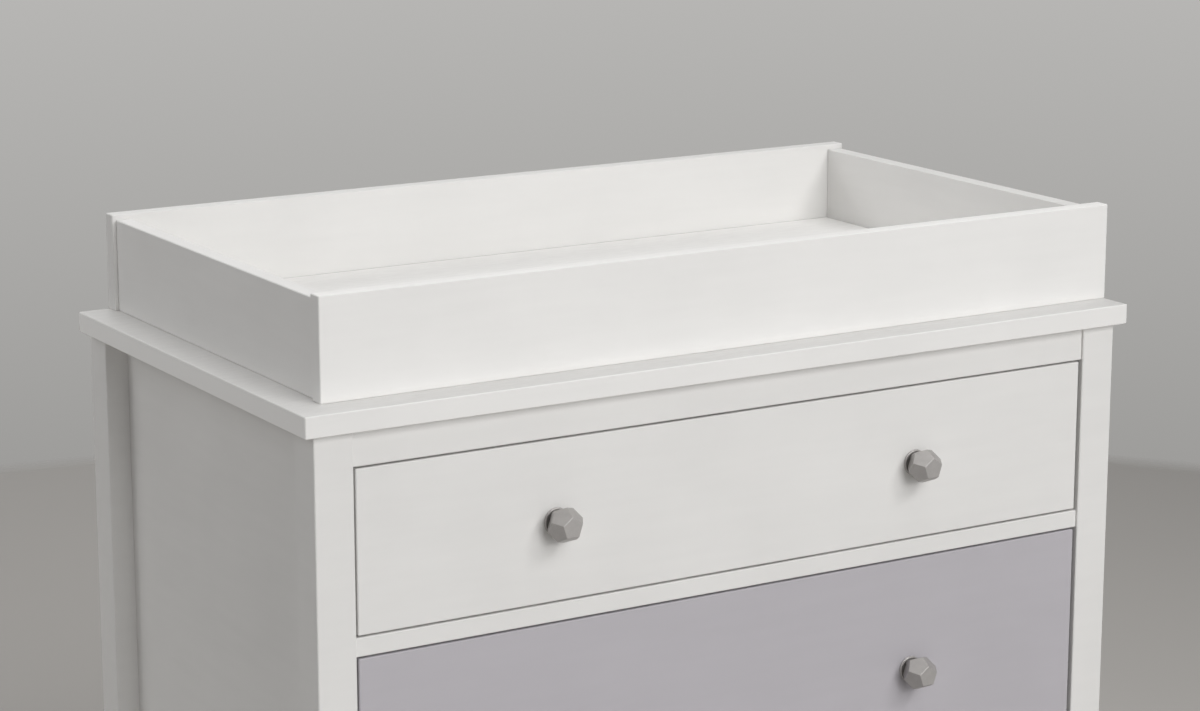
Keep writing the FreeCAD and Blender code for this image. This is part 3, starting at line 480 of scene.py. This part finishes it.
def knob_head(across):
    """A regular twelve-sided head with two facets square to X, the outer one with a corner at +Y.

    Its corners lie on four rings of five: one around each of those facets, and two wider ones
    between them. The two rings nearer the drawer are turned by 36 degrees.
    """
    near = across / 2
    golden = (1 + math.sqrt(5)) / 2
    edge = near / (golden**2 / (2 * math.sqrt(3 - golden)))
    small = edge / (2 * math.sin(math.pi / 5))
    large = small * golden
    inner = near - edge * math.sqrt(1 - (large - small) ** 2 / edge**2)
    fifths = np.arange(5) * 2 * math.pi / 5
    rings = [
        (near, small, 0),
        (inner, large, 0),
        (-inner, large, math.pi / 5),
        (-near, small, math.pi / 5),
    ]
    points = np.concatenate(
        [
            np.stack([0 * fifths + x, r * np.cos(fifths + t), r * np.sin(fifths + t)], axis=1)
            for x, r, t in rings
        ]
    )
    one = np.arange(5)
    two = (one + 1) % 5
    ends = [one.tolist(), (15 + one).tolist()]
    upper = np.stack([one, two, 5 + two, 10 + one, 5 + one], axis=1).tolist()
    lower = np.stack([15 + one, 15 + two, 10 + two, 5 + two, 10 + one], axis=1).tolist()
    return points, ends + upper + lower


KNOB_ACROSS = 0.028
KNOB_MIDDLE = 0.0168  # from the drawer's face to the middle of the head


def make_knobs():
    """Knobs: a faceted head on a short neck, and a dished rosette with a rounded rim."""
    rosette = rounded(
        [
            (0, 0, 0),
            (0, 12.75, 0.25),
            (1.1, 12.75, 0.3),
            (1.25, 12.35, 0.1),
            (2.0, 12.0, 0.35),
            (2.0, 11.1, 0.35),
            (1.0, 10.3, 0.5),
            (0.9, 6.0, 0.5),
            (3.3, 5.5, 0.4),
            (3.4, 0, 0),
        ]
    )
    out = np.array([0, -1, 0])
    for drawer in DRAWERS:
        shells = []
        for solid in solids_of(drawer + "_knobs"):
            low, high = solid.min(axis=0), solid.max(axis=0)
            ring = solid[solid[:, 1] > high[1] - 1e-5]
            up = (ring[:, 2].min() + ring[:, 2].max()) / 2
            base = np.array([(low[0] + high[0]) / 2, high[1], up])
            head = knob_head(KNOB_ACROSS)
            shells.append(set_at(head, base + KNOB_MIDDLE * out, out, (0, 0, 1)))
            shells.append(set_at(skin(turned(rosette, 72)), base, out))
        fitting(drawer + "_faceted_knobs", drawer, "knob_metal", shells, drawer + "_knobs", 0.0004)


def crossed_face(radius, rows, spokes, arm, reach, crown, depth):
    """Rings (height, y, z) of a round face: crown(r), less a cross recess.

    The recess is the depth times two slopes, which are start - distance / width kept from 0 to 1.
    The arm's distance is from the nearer axis of the cross, and the reach's is along it.
    """
    turn = (np.arange(spokes) + 0.5) * 2 * math.pi / spokes
    out = np.linspace(0, 1, rows)[:, None] * radius + 0 * turn
    y, z = out * np.cos(turn), out * np.sin(turn)
    beside, along = np.minimum(abs(y), abs(z)), np.maximum(abs(y), abs(z))
    recess = np.clip(arm[0] - beside / arm[1], 0, 1) * np.clip(reach[0] - along / reach[1], 0, 1)
    return np.stack([crown(out) - depth * recess, y, z], axis=-1)


SCREW_SPOKES = 48
THREAD_PITCH = 0.0013
THREAD_START = 0.0002  # under the head
ROWS_PER_TURN = 6


def screw_rings(head, thick, shank, long):
    """A cross-recessed screw, head outwards along +X from its seat at 0, with a helical thread.

    The head is domed: its height falls with the square of the radius. The shank's radius is a core
    plus a ridge, which follows the place along it plus the turn.
    """

    def crown(out):
        return thick * (1 - 0.22 * (out / head) ** 2)

    arm, reach = (1.35, 0.11 * head), (1.9, 0.3 * head)
    top = crossed_face(0.86 * head, 15, SCREW_SPOKES, arm, reach, crown, 0.62 * thick)
    rim = rounded(
        [
            (thick * 837, head * 860, 0.01),
            (thick * 620, head * 1000, 0.12),
            (0, head * 1000, 0.1),
            (0, shank * 900, 0.05),
        ],
        4,
    )
    turn = (np.arange(SCREW_SPOKES) + 0.5) * 2 * math.pi / SCREW_SPOKES
    threaded = long * 0.86
    rows = max(int(threaded / THREAD_PITCH * ROWS_PER_TURN), ROWS_PER_TURN)
    place = np.linspace(THREAD_START, threaded, rows)[:, None]
    ridge = 1 - abs(2 * ((place / THREAD_PITCH + turn / (2 * math.pi)) % 1) - 1)
    radius = shank * (0.74 + 0.24 * ridge**1.5)
    thread = np.stack([-place + 0 * turn, radius * np.cos(turn), radius * np.sin(turn)], axis=-1)
    point = np.array([(-long * 0.93, shank * 0.45), (-long * 0.98, shank * 0.12), (-long, 0)])
    shells = [top, turned(rim, SCREW_SPOKES), thread, turned(point, SCREW_SPOKES)]
    return np.concatenate(shells)


def screws_of(node):
    """Each screw in a node: its seat, the way its head faces, and its four sizes for screw_rings.

    The screw lies along its longest side, and its head is where its points are furthest out.
    """
    found = []
    for solid in solids_of(node):
        low, high = solid.min(axis=0), solid.max(axis=0)
        axis = int(np.argmax(high - low))
        middle = (low + high) / 2
        off = np.delete(solid - middle, axis, axis=1)
        radius = np.linalg.norm(off, axis=1)
        head = radius.max()
        of_head = solid[radius > 0.9 * head][:, axis]
        way = 1.0 if of_head.mean() > middle[axis] else -1.0
        top, seat = (of_head.max(), of_head.min()) if way > 0 else (of_head.min(), of_head.max())
        far = low[axis] if way > 0 else high[axis]
        at = middle.copy()
        at[axis] = seat
        along = np.zeros(3)
        along[axis] = way
        shank = radius[radius < 0.9 * head].max()
        found.append((at, along, 0.98 * head, abs(top - seat), shank, abs(seat - far)))
    return found


def make_screws():
    """Zinc-plated screws with cross recesses."""
    nodes = {"runner_screws": "cabinet", "back_panel_screws": "cabinet"}
    nodes.update({"tray_plate_screws": "changing_tray", "tray_hook_screws": "cabinet"})
    nodes.update({drawer + "_knob_screws": drawer for drawer in DRAWERS})
    for node, body in nodes.items():
        shells = [
            set_at(skin(screw_rings(*sizes)), at, along) for at, along, *sizes in screws_of(node)
        ]
        fitting(node + "_cross_head", body, "zinc_steel", shells, node)


def make_rollers():
    """Nylon rollers: a rounded tread, a web set in on both sides, a hub and a bore."""
    half = [
        (0, 2.6, 0),
        (3.15, 2.6, 0.25),
        (3.25, 4.1, 0.3),
        (1.7, 4.5, 0.4),
        (1.5, 8.3, 0.5),
        (3.1, 8.8, 0.35),
        (3.25, 9.9, 0.5),
        (2.4, 10.5, 0.7),
        (0, 10.5, 0),
    ]
    other = [(-along, out, reach) for along, out, reach in half[-2:0:-1]]
    profile = rounded(half + other, 5, closed=True)
    for drawer in DRAWERS:
        for end in ("front", "rear"):
            node = f"{drawer}_{end}_rollers"
            shells = []
            for solid in solids_of(node):
                middle = (solid.min(axis=0) + solid.max(axis=0)) / 2
                shells.append(set_at(skin(turned(profile, 64), joined=True), middle, (1, 0, 0)))
            body = f"{drawer}_{end}_roller_pair"
            fitting(node + "_moulded", body, "roller_nylon", shells, node)


def make_glides():
    """Nail-on floor glides: a rounded foot and its nail."""
    profile = rounded(
        [
            (0, 0, 0),
            (0, 9.6, 1.6),
            (2.6, 12.0, 1.0),
            (5.0, 11.6, 0.4),
            (5.0, 1.5, 0.2),
            (19.0, 1.5, 0.2),
            (20.0, 0, 0),
        ]
    )
    shells = []
    for solid in solids_of("floor_glides"):
        middle = (solid.min(axis=0) + solid.max(axis=0)) / 2
        foot = np.array([middle[0], middle[1], 0])
        shells.append(set_at(skin(turned(profile, 64)), foot, (0, 0, 1)))
    fitting("floor_glides_moulded", "cabinet", "glide_plastic", shells, "floor_glides")


CAM_SLOT_DEEP = 0.002  # the slot in the face of each cam of the construction


def make_cam_covers():
    """The turned faces of the cam locks: a thin rim around a cross recess, over each cam."""
    spokes = 64
    arm, reach = (1.4, 0.0011), (4.6, 0.0009)
    face = crossed_face(0.0066, 17, spokes, arm, reach, lambda out: 0.0001, 0.0014)
    rim = rounded(
        [
            (0.1, 6.7, 0.02),
            (0.55, 7.0, 0.15),
            (0.55, 8.3, 0.3),
            (0.02, 8.6, 0.05),
            (0.02, 7.2, 0.1),
            (-2.0, 7.0, 0.2),
            (-2.2, 0, 0),
        ],
        4,
    )
    cover = skin(np.concatenate([face, turned(rim, spokes)]))
    shells = []
    for solid in solids_of("cam_locks"):
        low, high = solid.min(axis=0), solid.max(axis=0)
        axis = int(np.argmin(high - low))
        in_slot = [
            (abs(abs(solid[:, axis] - end) - CAM_SLOT_DEEP) < 2e-5).sum()
            for end in (low[axis], high[axis])
        ]
        along = np.zeros(3)
        along[axis] = 1.0 if in_slot[1] > in_slot[0] else -1.0
        at = (low + high) / 2
        at[axis] = high[axis] if along[axis] > 0 else low[axis]
        shells.append(set_at(cover, at, along))
    fitting("cam_lock_faces", "cabinet", "cam_zinc", shells)


RIVET_SEAT = 0.0036  # from a roller's middle to the rivet head's underside


def make_rivets():
    """Domed rivet heads on the pins: inwards on the front rollers, outwards on the rear ones."""
    dome = rounded([(0, 0, 0), (0, 4.05, 0.1), (0.75, 4.0, 0.5), (1.45, 2.2, 0.9), (1.55, 0, 0)])
    head = skin(turned(dome, 48))
    shells = {}
    for drawer in DRAWERS:
        for end, body in (("front", "cabinet"), ("rear", drawer)):
            for solid in solids_of(f"{drawer}_{end}_rollers"):
                middle = (solid.min(axis=0) + solid.max(axis=0)) / 2
                outwards = 1.0 if middle[0] > 0 else -1.0
                along = np.array([-outwards if end == "front" else outwards, 0, 0])
                shell = set_at(head, middle + RIVET_SEAT * along, along)
                shells.setdefault(body, []).append(shell)
    for body, given in shells.items():
        fitting(body + "_pin_rivets", body, "white_runner_steel", given)


def make_sheet_metal():
    """Runners, hook plates and the wall bracket, with rounded edges."""
    rounded_copy("cabinet_runners", "cabinet", "white_runner_steel", 0.0003)
    for drawer in DRAWERS:
        rounded_copy(drawer + "_runners", drawer, "white_runner_steel", 0.0003)
    rounded_copy("tray_hook_plates", "changing_tray", "zinc_steel", 0.0004)
    rounded_copy("wall_anchor_bracket", "cabinet", "zinc_steel", 0.0005)


# ---------------------------------------------------------------- studio


FLOOR_EDGE = (2.74, 2.82)  # the floor fades out between these distances from its middle
# Painted shade: the backdrop is darker at the wall's foot, below these rises of the view.
WALL_FOOT = (-0.25, -0.1)  # rises of the view between which the wall's foot gives way to the wall
AIR_COLOUR = (236, 237, 240)
AIR_LIGHT = 0.1


def floor_disc():
    """A round floor: rings of points whose radius grows with the square of their number."""
    rings, spokes, reach = 24, 96, 9.0
    radius = reach * (np.arange(1, rings + 1) / rings) ** 2
    turn = np.arange(spokes) * 2 * math.pi / spokes
    ring = np.stack([np.cos(turn), np.sin(turn), np.zeros(spokes)], axis=1)
    points = np.concatenate([[(0, 0, 0)], (radius[:, None, None] * ring).reshape(-1, 3)])
    number = 1 + np.arange(rings * spokes).reshape(rings, spokes)
    after = np.roll(number, -1, axis=1)
    quads = np.stack([number[:-1], number[1:], after[1:], after[:-1]], axis=-1).reshape(-1, 4)
    fans = np.stack([np.zeros(spokes, int), number[0], after[0]], axis=1)
    mesh = bpy.data.meshes.new("studio_floor")
    mesh.from_pydata(points.tolist(), [], fans.tolist() + quads.tolist())
    floor = bpy.data.objects.new("studio_floor", mesh)
    bpy.context.scene.collection.objects.link(floor)
    finish = Finish("studio_floor_paint")
    at = finish.place()
    away = finish.node("ShaderNodeVectorMath", {"operation": "LENGTH"}, {0: at}, "Value")
    clouds = finish.noise(0.5, 2.0)
    colour = finish.between(clouds, linear(FLOOR_GREY, 0.985), linear(FLOOR_GREY, 1.015))
    sockets = {"Base Color": colour, "Roughness": 0.75, "Specular IOR Level": 0.2}
    paint = finish.node("ShaderNodeBsdfPrincipled", {}, sockets)
    clear = finish.node("ShaderNodeBsdfTransparent")
    fade = finish.ramp(away, *FLOOR_EDGE)
    mixed = finish.node("ShaderNodeMixShader", {}, {0: fade, 1: paint, 2: clear})
    finish.node("ShaderNodeOutputMaterial", {}, {"Surface": mixed})
    mesh.materials.append(finish.material)


def studio_air():
    """The world: plain soft light, and a pale grey with painted shade at its foot wherever the
    camera or a reflection looks.
    """
    world = bpy.data.worlds.new("studio_air")
    bpy.context.scene.world = world
    finish = Finish("studio_air", owner=world)
    light_sockets = {"Color": linear(AIR_COLOUR), "Strength": AIR_LIGHT}
    light = finish.node("ShaderNodeBackground", {}, light_sockets)
    # Painted shade: the backdrop darkens towards the floor.
    above_foot = finish.ramp(finish.part("Generated", 2), *WALL_FOOT)
    shade = finish.between(above_foot, linear(WALL_FOOT_SHADE_GREY), linear(WALL_GREY))
    wall = finish.node("ShaderNodeBackground", {}, {"Color": shade, "Strength": 1.0})
    seen = finish.node("ShaderNodeLightPath", output="Is Camera Ray")
    for ray in ("Is Glossy Ray", "Is Transmission Ray"):
        seen = seen.larger(finish.node("ShaderNodeLightPath", output=ray))
    mixed = finish.node("ShaderNodeMixShader", {}, {0: seen, 1: light, 2: wall})
    finish.node("ShaderNodeOutputWorld", {}, {"Surface": mixed})


# Where each lamp hangs, the length of its sides, and its power in watts.
SOFT_BOXES = {
    "key_soft_box": ((1.6, -3.0, 3.3), 0.9, 26),
    "upper_soft_box": ((0.3, -4.3, 3.0), 2.8, 92),
    "front_soft_box": ((0.0, -5.0, 1.6), 3.0, 57),
    "top_soft_box": ((0.2, -0.3, 3.4), 2.4, 24),
    "left_soft_box": ((-4.2, 1.2, 2.2), 2.4, 28),
    "left_upper_soft_box": ((-3.0, 2.4, 3.2), 2.0, 31),
    "back_soft_box": ((0.3, 3.2, 3.6), 2.4, 40),
}
LAMP_COLOUR = (1.0, 0.997, 0.994)
LAMPS_LOOK_AT = (0, 0, 0.6)


def soft_boxes():
    """Square area lamps that look at the middle of the dresser."""
    for name, (at, side, power) in SOFT_BOXES.items():
        lamp = bpy.data.lights.new(name, "AREA")
        lamp.size = side
        lamp.energy = power
        lamp.color = LAMP_COLOUR
        box = bpy.data.objects.new(name, lamp)
        box.location = at
        view = Vector(LAMPS_LOOK_AT) - Vector(at)
        box.rotation_euler = view.to_track_quat("-Z", "Y").to_euler()
        bpy.context.scene.collection.objects.link(box)


EYE = (-1.5902, -2.6086, 1.4873)
DOWNWARDS, TO_THE_RIGHT = 12.8, 31.17  # how the camera looks, in degrees
LENS_MILLIMETRES, SENSOR_MILLIMETRES = 94.54, 36


def camera():
    """A camera with the photograph's place and heading, fitted to the dresser's corners."""
    lens = bpy.data.cameras.new("front_left_camera")
    lens.lens = LENS_MILLIMETRES
    lens.sensor_width = SENSOR_MILLIMETRES
    lens.clip_end = 100
    eye = bpy.data.objects.new("front_left_camera", lens)
    eye.location = EYE
    eye.rotation_euler = Euler((math.radians(90 - DOWNWARDS), 0, math.radians(-TO_THE_RIGHT)))
    bpy.context.scene.collection.objects.link(eye)
    bpy.context.scene.camera = eye


camera()
dress_nodes()
make_knobs()
make_screws()
make_rollers()
make_glides()
make_cam_covers()
make_rivets()
make_sheet_metal()
floor_disc()
studio_air()
soft_boxes()
bpy.context.scene.view_settings.view_transform = "Standard"
